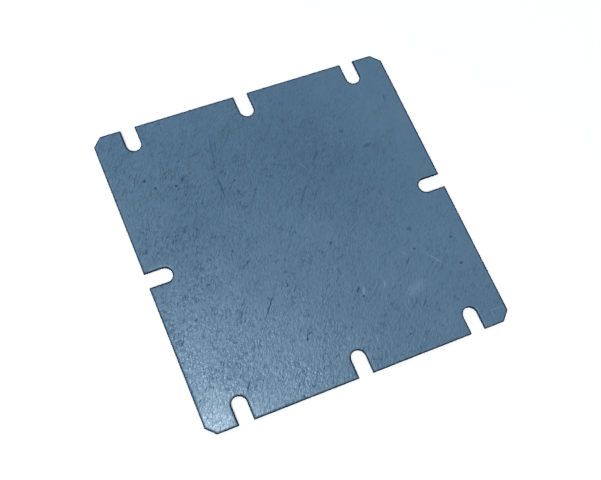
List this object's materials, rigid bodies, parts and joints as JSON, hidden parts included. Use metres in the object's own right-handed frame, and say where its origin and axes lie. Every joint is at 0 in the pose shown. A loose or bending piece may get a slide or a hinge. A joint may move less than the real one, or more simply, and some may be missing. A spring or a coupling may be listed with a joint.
{
  "type": "base plate",
  "caption": "Square flat sheet-steel base plate with cropped corners and open-ended, round-bottomed fixing slots along its edges.",
  "frame": {"origin": "middle of the underside", "axes": "+Z out of the face that carries the equipment, where the cut edge is rolled over. +X along the two edges with three slots each, +Y along the two edges with one slot each"},
  "size_m": [0.148, 0.148, 0.0015],
  "materials": {
    "galvanised_steel": "hot-dip galvanised, minimised spangle, blue-grey"
  },
  "bodies": {
    "root": {"base_plate": "galvanised_steel"}
  },
  "joints": []
}
